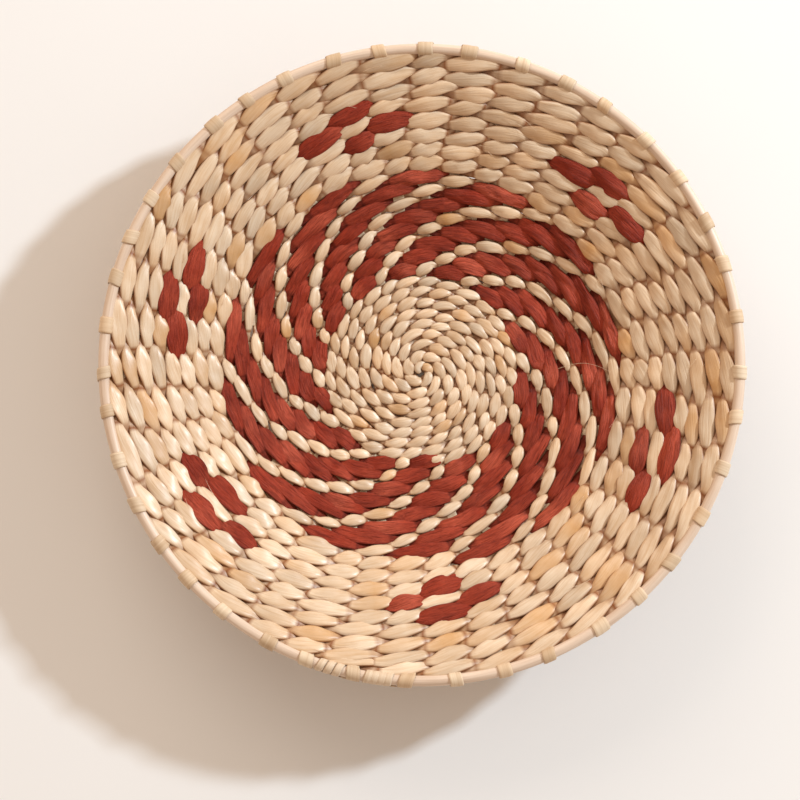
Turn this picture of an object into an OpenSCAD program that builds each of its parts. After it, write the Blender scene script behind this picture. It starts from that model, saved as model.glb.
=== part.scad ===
// Round dished mat, twined from flat leaf strands round flat radial stakes.
// +Z is up, out of the dish. The origin is under the middle of the floor,
// on the surface that the mat rests on. All lengths are in millimetres.

/* [Dish] */
// Radius of the flat floor, out to where it starts to bend up
floor_r = 45; // [38:1:56]
// Radius of the bend between the floor and the wall
bend_r = 120; // [90:5:150]
// Slope of the wall above the level, in degrees
wall_slope = 27; // [18:1:35]

/* [Courses] */
// Courses of plain strand in the middle
centre_courses = 9; // [8:1:11]
// Height of one course in the middle
centre_pitch = 6.1; // [5:0.1:7.4]
// Courses of red and plain strand round the middle
ring_courses = 8; // [6:1:10]
// Height of one course in the red ring
ring_pitch = 7.8; // [6.5:0.1:9.4]
// Courses of plain strand from the red ring to the hoop
field_courses = 8; // [7:1:10]
// Height of one course in the outer field
field_pitch = 8.4; // [7:0.1:10.2]

/* [Strands] */
// Thickness of a strand where it passes over or under a stake
strand_t = 3; // [2.4:0.1:3.7]
// Depth of the groove between two courses
groove_depth = 0.8; // [0.4:0.1:1.2]
// Clearance between two zones of weaving
zone_gap = 0.3; // [0.2:0.05:0.6]

/* [Stakes] */
// Angle of the first stake, counter-clockwise from +X, in degrees
first_angle = 42; // [0:1:90]
// Largest drift of a stake from its even place, in degrees
stake_drift = 3.5; // [0:0.5:4]
// Angle at which the stakes stand furthest apart, in degrees
drift_angle = 347; // [0:1:359]
// Width of a stake
stake_w = 6.5; // [5:0.1:8]
// Thickness of a stake
stake_t = 0.8; // [0.6:0.1:1.2]
// Clearance between a stake and the strands that grip it
stake_gap = 0.2; // [0.15:0.05:0.3]
// Place of the first stakes' inner ends, measured along the dish
first_start = 13; // [13:1:18]
// Place of the second stakes' inner ends, measured along the dish
second_start = 25; // [25:1:32]
// Place of the third stakes' inner ends, measured along the dish
third_start = 47; // [47:1:50]
// Place of the fourth stakes' inner ends, measured along the dish
fourth_start = 54; // [52:1:58]

/* [Hoop] */
// Diameter of the hoop's rod
hoop_d = 6; // [5:0.2:8]
// Width of a stake's end where it is wrapped round the hoop
wrap_w = 10; // [8:0.2:12]
// Thickness of a stake's end where it is wrapped round the hoop
wrap_t = 0.8; // [0.6:0.1:1.2]
// Clearance round the rod inside a wrap or a binding
wrap_gap = 0.15; // [0.1:0.05:0.3]
// Clearance between the last course and the wraps
edge_gap = 0.3; // [0.2:0.05:0.6]
// Slant of the cut where the rod's two ends meet, in degrees
scarf_slant = 30; // [30:1:45]
// Gap left between the rod's two cut ends
scarf_gap = 0.3; // [0.2:0.05:0.5]
// Thickness of the cord that binds the rod's ends
binding_t = 0.8; // [0.6:0.1:1.2]
// Space between a binding and the wrap beside it
binding_gap = 1; // [0.5:0.1:1.5]

/* [Accents] */
// Course of an accent's middle stitches, counted inwards from the hoop
accent_course = 5; // [3:1:6]
// Length of a red accent stitch
accent_len = 22; // [16:0.5:23]
// Width of a red accent stitch
accent_w = 6.6; // [5:0.1:6.8]
// Lean of a red accent stitch off the line of its course, in degrees
accent_lean = 12; // [0:1:14]
// Clearance round an accent stitch
accent_gap = 0.2; // [0.15:0.05:0.3]

/* [Hidden] */
$fn = 96;

// The stakes and the six accents set on them, by stake number
stake_count = 41;
accent_stakes = [0, 7, 14, 20, 27, 34];
// Stakes set in the first two rounds: ten and ten, evenly shared out
round_one = [for (i = [0:9]) round(i * stake_count / 10)];
round_two = [for (i = [0:9]) round((i + 0.5) * stake_count / 10)];
// The stakes that are left, and how many of them start before the others
third_count = 8;
late_stakes = [for (i = [0:stake_count - 1]) if (!member(i, round_one) && !member(i, round_two)) i];
round_three = [for (j = [0:len(late_stakes) - 1]) if (is_third(j)) late_stakes[j]];
round_four = [for (j = [0:len(late_stakes) - 1]) if (!is_third(j)) late_stakes[j]];
// The rod's ends meet under this stake
join_stake = 25;

// Lengths along the dish, from the middle to the end of each zone
ring_start = centre_courses * centre_pitch;
field_start = ring_start + ring_courses * ring_pitch;
field_end = field_start + field_courses * field_pitch;
// Distance from the middle surface to a strand's inner and outer face
strand_in = stake_t / 2 + stake_gap;
strand_out = strand_in + strand_t;
// The loop of a stake's end round the rod, and the rod's middle
loop_in = hoop_d / 2 + wrap_gap;
loop_out = loop_in + wrap_t;
hoop_s = field_end + edge_gap + loop_out;
// The bend's length along the dish, and its end
bend_len = bend_r * wall_slope * PI / 180;
bend_end = floor_r + bend_len;
// Longest step along the bend between two corners of a section
bend_step = 4;
// A strip needs this much more than its width between its neighbours
side_room = 0.3;
// How far the cutting slots reach past a strand's faces
slot_reach = 1;

function member(i, list) = len([for (k = list) if (k == i) k]) > 0;
function is_third(j) = floor((j + 1) * third_count / len(late_stakes)) > floor(j * third_count / len(late_stakes));

// Angle of a stake: an even share of the turn, plus the drift of hand work
function even_angle(i) = first_angle + i * 360 / stake_count;
function stake_angle(i) = even_angle(i) + stake_drift * sin(even_angle(i) - drift_angle);

// The dish's section, by the length s along it: slope, radius and height
function slope_at(s) =
    s < floor_r ? 0 : s < bend_end ? (s - floor_r) / bend_r * 180 / PI : wall_slope;
function radius_at(s) =
    s < floor_r ? s : floor_r + bend_r * sin(slope_at(s)) + max(0, s - bend_end) * cos(wall_slope);
function height_at(s) =
    strand_out + bend_r * (1 - cos(slope_at(s))) + max(0, s - bend_end) * sin(wall_slope);
// A point at distance d to the front of the middle surface
function at(s, d) = [radius_at(s) - d * sin(slope_at(s)), height_at(s) + d * cos(slope_at(s))];

// Steps from s0 to s1 that follow the bend and leave out its straight ends
function steps(s0, s1) = concat(
    [s0],
    [for (k = [0:ceil(bend_len / bend_step)])
        let (s = floor_r + k * bend_len / ceil(bend_len / bend_step))
        if (s > s0 + side_room && s < s1 - side_room) s],
    [s1]);
function reversed(list) = [for (k = [len(list) - 1:-1:0]) list[k]];

// The outer line of n courses from s0, with a groove between each two
function ridged(s0, pitch, n, side) = concat(
    [at(s0, side * (strand_out - groove_depth))],
    [for (c = [0:n - 1], f = [0.3, 0.7, 1])
        at(s0 + (c + f) * pitch - (c == n - 1 && f == 1 ? zone_gap : 0),
           side * (strand_out - (f == 1 ? groove_depth : 0)))]);
function smooth_line(s0, s1, d) = [for (s = steps(s0, s1)) at(s, d)];

// One layer of n courses: side 1 is the front, side -1 the back
module layer(s0, pitch, n, side, flat_back = false) {
    s1 = s0 + n * pitch - zone_gap;
    outer = flat_back ? smooth_line(s0, s1, side * strand_out) : ridged(s0, pitch, n, side);
    rotate_extrude() polygon(concat(outer, reversed(smooth_line(s0, s1, side * strand_in))));
}

// A stake starts at s, or further out if its neighbours, so many stake steps
// away, leave no room for its width there
function room_start(s, step_count) =
    max(s, (stake_w + side_room) / 2 / tan(180 / stake_count * step_count * (1 - stake_drift * PI / 180)));

// One stake: a flat strip in the weave, and its end wrapped round the rod
module stake(i, s0) {
    centre = at(hoop_s, 0);
    neck = steps(s0, hoop_s - (loop_in + loop_out) / 2);
    rotate([0, 0, stake_angle(i)]) rotate([90, 0, 0]) {
        linear_extrude(stake_w, center = true)
            polygon(concat([for (s = neck) at(s, -stake_t / 2)],
                           reversed([for (s = neck) at(s, stake_t / 2)])));
        linear_extrude(wrap_w, center = true)
            translate(centre) difference() {
                circle(loop_out);
                circle(loop_in);
            }
    }
}

module stake_round(list, s0) {
    color("burlywood") for (i = list) stake(i, s0);
}

// The rod, bent round until its slanted ends meet
module rim_hoop() {
    centre = at(hoop_s, 0);
    color("tan") difference() {
        rotate_extrude() translate(centre) circle(hoop_d / 2);
        rotate([0, 0, stake_angle(join_stake)]) translate([centre.x, 0, centre.y])
            rotate([0, 0, scarf_slant])
                cube([scarf_gap, hoop_d / sin(scarf_slant) + 2 * hoop_d, 2 * hoop_d], center = true);
    }
}

// A binding in the open bay on either side of the stake at the join
module hoop_join_binding() {
    centre = at(hoop_s, 0);
    edge = atan((wrap_w / 2 + binding_gap) / centre.x);
    color("peru") for (i = [join_stake - 1, join_stake]) {
        start = stake_angle(i) + edge;
        rotate([0, 0, start]) rotate_extrude(angle = stake_angle(i + 1) - edge - start)
            translate(centre) difference() {
                circle(loop_in + binding_t);
                circle(loop_in);
            }
    }
}

// A red stitch's outline: a long lens with pointed ends
module stitch_outline(gap) {
    a = accent_len / 2 + gap;
    b = accent_w / 2 + gap;
    polygon([[-a, 0], [-a / 2, -b * 0.8], [0, -b], [a / 2, -b * 0.8],
             [a, 0], [a / 2, b * 0.8], [0, b], [-a / 2, b * 0.8]]);
}

// A prism through the front layer at one stake and course
module stitch_prism(i, course, gap, rise) {
    s = field_end - (course - 0.5) * field_pitch;
    p = at(s, strand_in - rise);
    rotate([0, 0, stake_angle(i)]) translate([p.x, 0, p.y])
        rotate([0, -slope_at(s), 0]) rotate([0, 0, 90 + accent_lean])
            linear_extrude(strand_t + 2 * rise) stitch_outline(gap);
}

// Four stitches make one accent: two in its middle course, one either side
module accent_prisms(i, gap, rise) {
    stitch_prism(i, accent_course - 1, gap, rise);
    stitch_prism(i - 1, accent_course, gap, rise);
    stitch_prism(i + 1, accent_course, gap, rise);
    stitch_prism(i, accent_course + 1, gap, rise);
}

module accent(number) {
    color("firebrick") intersection() {
        layer(field_start, field_pitch, field_courses, 1);
        accent_prisms(accent_stakes[number - 1], 0, slot_reach);
    }
}

module centre_front_strand() {
    color("wheat") layer(0, centre_pitch, centre_courses, 1);
}

module centre_back_strand() {
    color("wheat") layer(0, centre_pitch, centre_courses, -1, flat_back = true);
}

module ring_red_strand() {
    color("indianred") layer(ring_start, ring_pitch, ring_courses, 1);
}

module ring_plain_strand() {
    color("navajowhite") layer(ring_start, ring_pitch, ring_courses, -1);
}

module field_front_strand() {
    color("wheat") difference() {
        layer(field_start, field_pitch, field_courses, 1);
        for (i = accent_stakes) accent_prisms(i, accent_gap, slot_reach);
    }
}

module field_back_strand() {
    color("wheat") layer(field_start, field_pitch, field_courses, -1);
}

rim_hoop();
hoop_join_binding();
stake_round(round_one, room_start(first_start, 4));  // first_stakes
stake_round(round_two, room_start(second_start, 2));  // second_stakes
stake_round(round_three, room_start(third_start, 1));  // third_stakes
stake_round(round_four, room_start(fourth_start, 1));  // fourth_stakes
centre_front_strand();
centre_back_strand();
ring_red_strand();
ring_plain_strand();
field_front_strand();
field_back_strand();
accent(1);  // accent_1
accent(2);  // accent_2
accent(3);  // accent_3
accent(4);  // accent_4
accent(5);  // accent_5
accent(6);  // accent_6
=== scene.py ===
"""Round dished mat: leaf strands twined in pairs round 41 flat stakes, with a red swirl and a cane hoop."""

import logging
import math
from dataclasses import dataclass
from enum import Enum
from typing import Any, Callable, Optional, Sequence, Union

import bpy
import numpy as np
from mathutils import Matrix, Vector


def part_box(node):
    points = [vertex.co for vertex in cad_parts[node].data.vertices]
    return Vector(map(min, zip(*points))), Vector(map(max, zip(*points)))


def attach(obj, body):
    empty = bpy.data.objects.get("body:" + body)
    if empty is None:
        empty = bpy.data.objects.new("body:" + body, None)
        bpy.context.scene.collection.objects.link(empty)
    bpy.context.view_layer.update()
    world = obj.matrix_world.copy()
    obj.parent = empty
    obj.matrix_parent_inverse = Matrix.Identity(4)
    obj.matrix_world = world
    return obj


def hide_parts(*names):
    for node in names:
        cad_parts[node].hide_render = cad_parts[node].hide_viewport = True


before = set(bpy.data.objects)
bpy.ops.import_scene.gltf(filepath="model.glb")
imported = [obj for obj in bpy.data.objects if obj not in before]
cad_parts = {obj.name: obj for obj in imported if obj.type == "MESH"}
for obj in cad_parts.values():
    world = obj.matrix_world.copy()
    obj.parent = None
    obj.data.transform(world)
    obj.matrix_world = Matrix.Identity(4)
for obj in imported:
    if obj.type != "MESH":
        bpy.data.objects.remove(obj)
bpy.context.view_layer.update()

LOG = logging.getLogger("mat")
ROOT = "root"
TAU = 2 * math.pi
UP = np.array([0.0, 0.0, 1.0])

# Sizes in metres: the heights of the inner courses, the room left beside the hoop rod, the gap
# between a wrap and the rod, and how far the middle of the weave lies behind its front layer.
CENTRE_PITCH = 0.0061
RING_PITCH = 0.0078
EDGE_ROOM = 0.0024
CLEARANCE = 0.0002
STAKE_SIDE = 0.0006

# The section is sampled this far, at this many points, to find where the hoop lies on it.
SECTION_REACH = 0.25
SECTION_POINTS = 5001

# The most that the grain's start is shifted from one strand to the next.
GRAIN_SHIFT = 5.0

# The stake beside which the hoop's two ends meet.
JOIN_STAKE = 25

# Stitch numbers that reach past both ends of every strand.
PLAIN_SPAN = (-400, 800)
SHARED_SPAN = (-300, 900)

Array = np.ndarray
Colour = tuple[float, float, float]
Span = tuple[float, float]
Paint = Union[Colour, bpy.types.NodeSocket]
Inputs = dict[Union[str, int], Any]
Swell = Callable[[Array], tuple[Array, Array]]

# The channels of the tone: the tan share, the brightness, and how free a point is of the painted shade in
# the gaps between strands.
TONE_NAMES = ("Red", "Green", "Blue")


class Slot(Enum):
    """The record's material slots."""

    PLAIN = "plain_leaf"
    RED = "red_raffia"
    STAKE = "stake_leaf"
    HOOP = "hoop_rod"
    BINDING = "binding_cord"


class Zone(Enum):
    """The three zones of weaving, from the middle to the hoop."""

    CENTRE = "centre"
    RING = "ring"
    FIELD = "field"


def smooth_step(x: Array) -> Array:
    """Returns 0 below 0, 1 above 1, and three x squared less two x cubed between."""
    t = np.clip(x, 0.0, 1.0)
    return t * t * (3 - 2 * t)


def unit(v: Array) -> Array:
    """Returns each row of v divided by its length."""
    return v / np.linalg.norm(v, axis=-1, keepdims=True)


def circle_angles(count: int) -> Array:
    """Returns angles evenly spaced round a full turn, from zero."""
    return np.arange(count) / count * TAU


def level_direction(angle: Array) -> Array:
    """Returns the level unit direction away from the axis at each angle."""
    return np.stack([np.cos(angle), np.sin(angle), np.zeros_like(angle)], -1)


def length_along(line: Array) -> Array:
    """Returns the length from a line's start to each of its points."""
    return np.concatenate([[0.0], np.cumsum(np.linalg.norm(np.diff(line, axis=0), axis=1))])


def stitch_knots(place: Array) -> Array:
    """Returns whole stitch numbers from below the first place to above the last."""
    return np.arange(math.floor(place[0]), math.ceil(place[-1]) + 2)


# ---------------------------------------------------------------- the dish and its courses


@dataclass(frozen=True)
class DishForm:
    """The middle surface of the weave: a level floor, a bend, and a straight sloping wall.

    Lengths s run along the section from the middle, so s is the radius on the floor.
    """

    middle_height: float
    floor_radius: float = 0.045
    bend_radius: float = 0.120
    wall_slope: float = math.radians(27)

    def slope(self, s: Array) -> Array:
        """Returns the section's slope: none on the floor, then growing evenly to the wall's."""
        return np.clip((s - self.floor_radius) / self.bend_radius, 0.0, self.wall_slope)

    def past_bend(self, s: Array) -> Array:
        """Returns the length past the end of the bend."""
        return np.maximum(0.0, s - self.floor_radius - self.bend_radius * self.wall_slope)

    def radius(self, s: Array) -> Array:
        """Returns the distance from the axis: floor, arc and straight wall added up."""
        arc = self.bend_radius * np.sin(self.slope(s))
        return np.minimum(s, self.floor_radius) + arc + self.past_bend(s) * math.cos(self.wall_slope)

    def height(self, s: Array) -> Array:
        """Returns the height of the middle surface above the surface that the mat rests on."""
        rise = self.bend_radius * (1 - np.cos(self.slope(s)))
        return self.middle_height + rise + self.past_bend(s) * math.sin(self.wall_slope)

    def directions(self, angle: Array, s: Array) -> tuple[Array, Array, Array]:
        """Returns the unit directions outward along the section, to the front, and clockwise.

        Args:
            angle: angles round the dish, counter-clockwise from +X.
            s: lengths along the section.

        Returns:
            Three arrays of vectors, one row per angle.
        """
        rise = np.sin(self.slope(s))[..., None]
        run = np.cos(self.slope(s))[..., None]
        radial = level_direction(angle)
        clockwise = np.stack([np.sin(angle), -np.cos(angle), np.zeros_like(angle)], -1)
        return radial * run + UP * rise, UP * run - radial * rise, clockwise

    def point(self, angle: Array, s: Array, to_front: Array) -> Array:
        """Returns points at a distance to the front of the middle surface.

        Args:
            angle: angles round the dish.
            s: lengths along the section.
            to_front: distances from the middle surface, with the front positive.

        Returns:
            The points, one row per angle.
        """
        radius = self.radius(s)
        on_middle = np.stack([radius * np.cos(angle), radius * np.sin(angle), self.height(s)], -1)
        return on_middle + self.directions(angle, s)[1] * np.asarray(to_front)[..., None]


@dataclass(frozen=True)
class StakeSet:
    """The 41 radial stakes and the angles that they stand at."""

    count: int = 41
    first_angle: float = math.radians(42)
    drift: float = math.radians(3.5)
    drift_angle: float = math.radians(347)
    swing: float = 0.42
    swing_wave: float = 0.34
    swing_angle: float = math.radians(250)
    wander: float = 0.06
    slow_waves: int = 11
    slow_shift: float = 5.0
    quick_share: float = 0.7
    quick_waves: int = 17
    quick_shift: float = -8.0
    quick_start: float = 1.3

    @property
    def step(self) -> float:
        """Returns the even angle between two stakes."""
        return TAU / self.count

    def angle(self, number: Array) -> Array:
        """Returns a stake's angle: its even share of the turn and the drift of hand work."""
        even = self.first_angle + np.asarray(number) * self.step
        return even + self.drift * np.sin(even - self.drift_angle)

    def swung(self, number: Array, inwards: Array) -> Array:
        """Returns a stake's angle where it swings clockwise towards the middle.

        The swing is a part of a stake's step that grows inwards and varies round the dish. Two
        small waves from stake to stake, which shift along the stake, are added to it.

        Args:
            number: stake numbers, which may lie between two stakes.
            inwards: 0 in the outer field, growing to 1 at the ring's inner edge.

        Returns:
            The angles.
        """
        angle = self.angle(number)
        share = self.swing + self.swing_wave * np.cos(angle - self.swing_angle)
        turn = TAU * np.asarray(number) / self.count
        slow = self.wander * np.sin(self.slow_waves * turn + self.slow_shift * inwards)
        quick_angle = self.quick_waves * turn + self.quick_shift * inwards + self.quick_start
        quick = self.quick_share * self.wander * np.sin(quick_angle)
        return angle + self.step * (slow + quick - share * np.clip(inwards, 0.0, 1.0))


@dataclass(frozen=True)
class CoursePlan:
    """How the courses spiral outward, clockwise, and where every stitch starts.

    A turn's count grows by one each time round. Near the middle the courses rise evenly, and
    further out each keeps its distance from the middle and steps out over a tenth of the turn.
    """

    form: DishForm
    stakes: StakeSet
    ring_start: float
    field_start: float
    field_end: float
    centre_courses: int = 9
    ring_courses: int = 8
    field_courses: int = 8
    first_stake: int = 27
    step_share: float = 0.11
    even_lead: float = 0.45
    even_turns: float = 3.0
    settling_turns: float = 5.0
    first_turn: float = 0.15
    least_radius: float = 0.0012
    longest_centre_stitch: float = 0.0115
    stitch_growth: float = 0.0068
    trace_points: int = 4000
    samples: int = 12

    @property
    def turns(self) -> int:
        """Returns the number of courses from the middle to the hoop."""
        return self.centre_courses + self.ring_courses + self.field_courses

    @property
    def step_place(self) -> float:
        """Returns the place between two stakes where the courses step out."""
        return self.first_stake + 0.5

    def pitch(self, zone: Zone) -> float:
        """Returns the height of one course in a zone: the zone's span shared out evenly.

        Args:
            zone: the zone of weaving.

        Returns:
            The height along the section.
        """
        spans = {
            Zone.CENTRE: (self.ring_start, self.centre_courses),
            Zone.RING: (self.field_start - self.ring_start, self.ring_courses),
            Zone.FIELD: (self.field_end - self.field_start, self.field_courses),
        }
        span, courses = spans[zone]
        return span / courses

    def course_middles(self) -> Array:
        """Adds up the courses' heights, less half of each course's own.

        Returns:
            The place of every course's middle line, from half a course inside the first.
        """
        heights = np.repeat(
            [self.pitch(z) for z in Zone], [self.centre_courses, self.ring_courses, self.field_courses]
        )
        return np.concatenate([[-heights[0] / 2], np.cumsum(heights) - heights / 2])

    def along(self, turn: Array) -> Array:
        """Returns the length along the section that the pair of strands has reached.

        Args:
            turn: turns from the middle.

        Returns:
            The lengths, read off the courses' middle lines. The first turns rise evenly, and the
            later ones hold their place and step out, with a smooth change between the two ways.
        """
        even = turn + self.even_lead
        stepped = np.floor(turn) + smooth_step((turn - np.floor(turn)) / self.step_share)
        hold = smooth_step((turn - self.even_turns) / self.settling_turns)
        course = even * (1 - hold) + stepped * hold
        return np.interp(course, np.arange(self.turns + 1), self.course_middles())

    def centre_turns(self) -> Array:
        """Returns the turn at which each stitch of the centre starts.

        A stitch's length grows with the radius and levels off, so the count of stitches is the
        sum of the way round divided by that length, and its inverse gives the turns.

        Returns:
            The turns, one more than there are stitches.
        """
        turn = np.linspace(self.first_turn, self.centre_courses, self.trace_points)
        radius = self.form.radius(self.along(turn))
        levelled = 1 - np.exp(-(radius + self.least_radius) / self.stitch_growth)
        length = self.longest_centre_stitch * levelled
        count = np.concatenate([[0.0], np.cumsum(TAU * radius[1:] / length[1:] * np.diff(turn))])
        whole = 2 * round(count[-1] / 2)
        return np.interp(np.arange(whole + 1), count * whole / count[-1], turn)

    def place(self, stitch: Array) -> tuple[Array, Array]:
        """Returns the angle and the length along the section of places on the spiral.

        Args:
            stitch: places counted in stitches, with 0 where the ring starts.

        Returns:
            The angles and the lengths along the section.
        """
        inner = self.centre_turns()
        turn = np.where(
            stitch < 0,
            np.interp(stitch + len(inner) - 1, np.arange(len(inner)), inner),
            self.centre_courses + stitch / self.stakes.count,
        )
        s = self.along(turn)
        inwards = (self.field_start - s) / (self.field_start - self.ring_start)
        outer = self.stakes.swung(self.step_place - np.maximum(stitch, 0), inwards)
        start = self.stakes.swung(np.array(self.step_place), np.array(1.0))
        angle = np.where(stitch < 0, start + TAU * (self.centre_courses - turn), outer)
        return angle, s

    def stitch_over(self, stake: int, course_from_hoop: int) -> int:
        """Returns the number of the stitch over a stake in a course counted in from the hoop."""
        course = self.ring_courses + self.field_courses - course_from_hoop
        return course * self.stakes.count + (self.first_stake - stake) % self.stakes.count


# ---------------------------------------------------------------- meshes


@dataclass
class Surface:
    """Points, faces and per-point attributes of a piece, gathered before its mesh is made.

    The grain holds a point's place across, through and along its fibres. The tone holds the tan
    share, the brightness, how free it is of the painted shade in the gaps, and a spare number.
    """

    points: Array
    quads: Array
    triangles: Array
    grain: Array
    tone: Array

    @staticmethod
    def joined(parts: Sequence["Surface"]) -> "Surface":
        """Returns one surface made of several, with their face numbers moved on.

        Args:
            parts: the surfaces.

        Returns:
            The joined surface, with the parts in their order.
        """
        starts = np.cumsum([0] + [len(p.points) for p in parts[:-1]])
        return Surface(
            np.concatenate([p.points for p in parts]),
            np.concatenate([p.quads + n for p, n in zip(parts, starts)]),
            np.concatenate([p.triangles + n for p, n in zip(parts, starts)]),
            np.concatenate([p.grain for p in parts]),
            np.concatenate([p.tone for p in parts]),
        )

    def to_object(self, name: str, material: bpy.types.Material) -> bpy.types.Object:
        """Returns a new object with this surface as its mesh, shaded smooth.

        Args:
            name: the piece's name.
            material: the finish that the whole piece takes.

        Returns:
            The object, at the origin, linked to the scene.
        """
        mesh = bpy.data.meshes.new(name)
        mesh.vertices.add(len(self.points))
        mesh.vertices.foreach_set("co", self.points.astype(np.float32).ravel())
        corners = np.concatenate([self.quads.ravel(), self.triangles.ravel()]).astype(np.int32)
        sizes = np.concatenate([np.full(len(self.quads), 4), np.full(len(self.triangles), 3)])
        starts = np.concatenate([[0], np.cumsum(sizes)[:-1]]).astype(np.int32)
        mesh.loops.add(len(corners))
        mesh.loops.foreach_set("vertex_index", corners)
        mesh.polygons.add(len(sizes))
        mesh.polygons.foreach_set("loop_start", starts)
        mesh.polygons.foreach_set("use_smooth", np.ones(len(sizes), dtype=bool))
        mesh.update(calc_edges=True)
        grain = mesh.attributes.new("Grain", "FLOAT_VECTOR", "POINT")
        grain.data.foreach_set("vector", self.grain.astype(np.float32).ravel())
        tone = mesh.attributes.new("Tone", "FLOAT_COLOR", "POINT")
        tone.data.foreach_set("color", self.tone.astype(np.float32).ravel())
        mesh.materials.append(material)
        piece = bpy.data.objects.new(name, mesh)
        bpy.context.scene.collection.objects.link(piece)
        return piece


def tube_faces(rings: int, around: int) -> tuple[Array, Array]:
    """Returns the faces of a tube closed by a point at each end.

    The points are numbered ring by ring, and the two end points come last.

    Args:
        rings: number of rings along the tube.
        around: number of points in a ring.

    Returns:
        The quads between the rings and the triangles of the two ends.
    """
    i, j = np.meshgrid(np.arange(rings - 1), np.arange(around), indexing="ij")
    k = (j + 1) % around
    quads = np.stack([i * around + j, (i + 1) * around + j, (i + 1) * around + k, i * around + k], -1)
    ring = np.arange(around)
    after = (ring + 1) % around
    last = (rings - 1) * around
    start_point = np.full(around, rings * around)
    start = np.stack([start_point, ring, after], -1)
    end = np.stack([start_point + 1, last + after, last + ring], -1)
    return quads.reshape(-1, 4), np.concatenate([start, end])


def carried_profile(
    line: Array, wide: Array, thick: Array, profile: Array, grain_along: Array, tone: Array
) -> Surface:
    """Returns a closed profile carried along a line.

    A point is the line's point, plus the profile's first number along the wide direction, plus
    its second number along the thick direction.

    Args:
        line: the line's points, one per ring.
        wide: unit direction of the profile's first number at each ring.
        thick: unit direction of the profile's second number at each ring.
        profile: the profile at each ring, as rings by points by two.
        grain_along: the length along the fibres at each ring, for the grain.
        tone: the four tone numbers at each ring, or at each point of each ring.

    Returns:
        The surface, closed at both ends.
    """
    rings, around = profile.shape[:2]
    if tone.ndim == 2:
        tone = np.broadcast_to(tone[:, None], (rings, around, 4))
    points = line[:, None] + wide[:, None] * profile[..., :1] + thick[:, None] * profile[..., 1:]
    grain = np.concatenate([profile, np.broadcast_to(grain_along[:, None, None], (rings, around, 1))], -1)
    ends = [0, -1]
    end_grain = np.stack([np.zeros(2), np.zeros(2), grain_along[ends]], -1)
    quads, triangles = tube_faces(rings, around)
    return Surface(
        np.concatenate([points.reshape(-1, 3), line[ends]]),
        quads,
        triangles,
        np.concatenate([grain.reshape(-1, 3), end_grain]),
        np.concatenate([tone.reshape(-1, 4), tone[ends, 0]]),
    )


# ---------------------------------------------------------------- strands


@dataclass(frozen=True)
class StrandStyle:
    """The look of one kind of strand, with half widths as shares of the course's height."""

    width: float
    gap_width: float
    back_width: float = 0.52
    tip: float = 0.32
    thickness: float = 0.0015
    gap_thickness: float = 0.00115
    lean: float = 0.23
    lift: float = 0.0021
    fullness: float = 0.8
    drape: float = math.radians(10)
    edge: float = 0.92
    fold_depth: float = 0.05
    fold_count: int = 3
    crease_depth: float = 0.2
    width_spread: float = 0.07
    restless: float = 0.22
    tan_share: float = 0.2
    around: int = 20


@dataclass(frozen=True)
class PhaseLine:
    """A strand's turning round its partner: a half turn for each pass before or behind the stakes.

    Knots give the stitch places where the strand crosses its partner, and the phase there, in
    half turns. Even to odd is a pass in front, and odd to even a pass behind.
    """

    places: Array
    half_turns: Array

    def at(self, stitch: Array) -> Array:
        """Returns the phase in radians, straight between the knots."""
        return math.pi * np.interp(stitch, self.places, self.half_turns)


@dataclass(frozen=True)
class FoldedSection:
    """A strand's section: a rounded lens with lengthwise folds, a fine ripple and creases.

    Rates are in radians for a stitch, and the wanders are shares of the random lines.
    """

    wander: float = 1.3
    second_share: float = 0.6
    second_wander: float = 1.7
    ripple_share: float = 0.5
    ripple_rate: float = 9.0
    crease_wander: float = 0.55
    crease_swing: float = 0.25
    crease_rate: float = 2.3
    crease_width: float = 0.22

    def profile(
        self, half_width: Array, half_thick: Array, style: StrandStyle, lines: Sequence[Array], place: Array
    ) -> Array:
        """Returns the section at each ring.

        The lens is the half width times the cosine and the half thickness times the sine of the
        angle round it, with its edge blunted by a power. The folds are two waves round it, which
        move as the random lines do, so that they run along the strand and wander, and a narrow
        crease, a bell curve of the angle, is pressed into each face.

        Args:
            half_width: half the width at each ring.
            half_thick: half the thickness at each ring.
            style: gives the folds' depth and number.
            lines: three random lines, for the first fold, the second fold and the crease.
            place: the stitch places, which make the fine wave of the fibres.

        Returns:
            The profile, as rings by points by two.
        """
        turn = circle_angles(style.around)[None]
        cos, sin = np.cos(turn), np.sin(turn)
        first, second, third = (line[:, None] for line in lines)
        wander = first * self.wander
        second_turn = (2 * style.fold_count - 1) * turn - self.second_wander * second
        folds = np.cos(style.fold_count * turn + wander) + self.second_share * np.cos(second_turn)
        ripple = np.sin(place * self.ripple_rate)[:, None] * np.cos(2 * turn + wander) * third
        reach = 1 + style.fold_depth * (folds * np.abs(sin) + self.ripple_share * ripple)
        swing = self.crease_swing * np.sin(place * self.crease_rate)[:, None]
        spot = self.crease_wander * third + swing
        crease = np.exp(-(((cos - spot) / self.crease_width) ** 2)) * np.abs(sin)
        x = half_width[:, None] * np.sign(cos) * np.abs(cos) ** style.edge
        y = half_thick[:, None] * sin * (reach - style.crease_depth * crease)
        return np.stack([x, y], -1)


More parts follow.
